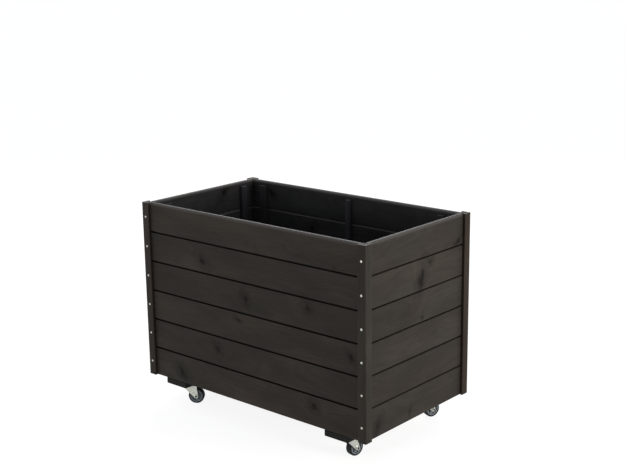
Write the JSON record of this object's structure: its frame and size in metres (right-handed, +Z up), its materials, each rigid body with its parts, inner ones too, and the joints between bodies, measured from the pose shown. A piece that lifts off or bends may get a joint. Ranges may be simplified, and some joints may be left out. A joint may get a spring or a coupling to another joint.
{
  "type": "raised planter box",
  "caption": "Tall rectangular planter box of dark-stained tongue-and-groove boards with corner strips, inner battens and an open top, on cross beams with small swivel casters.",
  "frame": {"origin": "on the ground, under the middle of the box", "axes": "+X along the long side of the box, towards its right end; +Y from the front to the back; +Z up"},
  "size_m": [0.87, 0.49, 0.6435],
  "materials": {
    "stained_wood": "planed softwood with a dark grey-brown exterior stain, satin, grain and knots showing through",
    "zinc_plate": "bright zinc-plated pressed steel",
    "wheel_hub": "moulded blue-grey plastic, satin",
    "wheel_tyre": "smooth black rubber"
  },
  "bodies": {
    "box": {"back_board_1": "stained_wood", "back_board_2": "stained_wood", "back_board_3": "stained_wood", "back_board_4": "stained_wood", "back_board_5": "stained_wood", "back_board_6": "stained_wood", "back_batten_left": "stained_wood", "back_batten_right": "stained_wood", "back_batten_middle": "stained_wood", "front_board_1": "stained_wood", "front_board_2": "stained_wood", "front_board_3": "stained_wood", "front_board_4": "stained_wood", "front_board_5": "stained_wood", "front_board_6": "stained_wood", "front_batten_left": "stained_wood", "front_batten_right": "stained_wood", "front_batten_middle": "stained_wood", "left_board_1": "stained_wood", "left_board_2": "stained_wood", "left_board_3": "stained_wood", "left_board_4": "stained_wood", "left_board_5": "stained_wood", "left_board_6": "stained_wood", "left_batten_front": "stained_wood", "left_batten_back": "stained_wood", "right_board_1": "stained_wood", "right_board_2": "stained_wood", "right_board_3": "stained_wood", "right_board_4": "stained_wood", "right_board_5": "stained_wood", "right_board_6": "stained_wood", "right_batten_front": "stained_wood", "right_batten_back": "stained_wood", "corner_strip_front_left": "stained_wood", "corner_strip_front_right": "stained_wood", "corner_strip_back_left": "stained_wood", "corner_strip_back_right": "stained_wood", "floor_board_1": "stained_wood", "floor_board_2": "stained_wood", "floor_board_3": "stained_wood", "floor_board_4": "stained_wood", "cross_beam_left": "stained_wood", "cross_beam_right": "stained_wood", "caster_front_left_plate": "zinc_plate", "caster_front_right_plate": "zinc_plate", "caster_back_left_plate": "zinc_plate", "caster_back_right_plate": "zinc_plate"},
    "fork_front_left": {"caster_front_left_fork": "zinc_plate"},
    "wheel_front_left": {"caster_front_left_wheel": "wheel_hub", "caster_front_left_tyre": "wheel_tyre"},
    "fork_front_right": {"caster_front_right_fork": "zinc_plate"},
    "wheel_front_right": {"caster_front_right_wheel": "wheel_hub", "caster_front_right_tyre": "wheel_tyre"},
    "fork_back_left": {"caster_back_left_fork": "zinc_plate"},
    "wheel_back_left": {"caster_back_left_wheel": "wheel_hub", "caster_back_left_tyre": "wheel_tyre"},
    "fork_back_right": {"caster_back_right_fork": "zinc_plate"},
    "wheel_back_right": {"caster_back_right_wheel": "wheel_hub", "caster_back_right_tyre": "wheel_tyre"}
  },
  "joints": [
    {"name": "front_left_swivel", "type": "hinge", "parent": "box", "child": "fork_front_left", "pos_m": [-0.323, -0.183, 0.06], "axis": [0, 0, 1], "continuous": true},
    {"name": "front_left_roll", "type": "hinge", "parent": "fork_front_left", "child": "wheel_front_left", "pos_m": [-0.30375, -0.16952, 0.025], "axis": [0.5736, -0.8192, 0], "continuous": true},
    {"name": "front_right_swivel", "type": "hinge", "parent": "box", "child": "fork_front_right", "pos_m": [0.323, -0.183, 0.06], "axis": [0, 0, 1], "continuous": true},
    {"name": "front_right_roll", "type": "hinge", "parent": "fork_front_right", "child": "wheel_front_right", "pos_m": [0.32708, -0.15986, 0.025], "axis": [0.9848, -0.1736, 0], "continuous": true},
    {"name": "back_left_swivel", "type": "hinge", "parent": "box", "child": "fork_back_left", "pos_m": [-0.323, 0.183, 0.06], "axis": [0, 0, 1], "continuous": true},
    {"name": "back_left_roll", "type": "hinge", "parent": "fork_back_left", "child": "wheel_back_left", "pos_m": [-0.30728, 0.20046, 0.025], "axis": [0.7431, -0.6691, 0], "continuous": true},
    {"name": "back_right_swivel", "type": "hinge", "parent": "box", "child": "fork_back_right", "pos_m": [0.323, 0.183, 0.06], "axis": [0, 0, 1], "continuous": true},
    {"name": "back_right_roll", "type": "hinge", "parent": "fork_back_right", "child": "wheel_back_right", "pos_m": [0.33104, 0.20508, 0.025], "axis": [0.9397, -0.342, 0], "continuous": true}
  ]
}
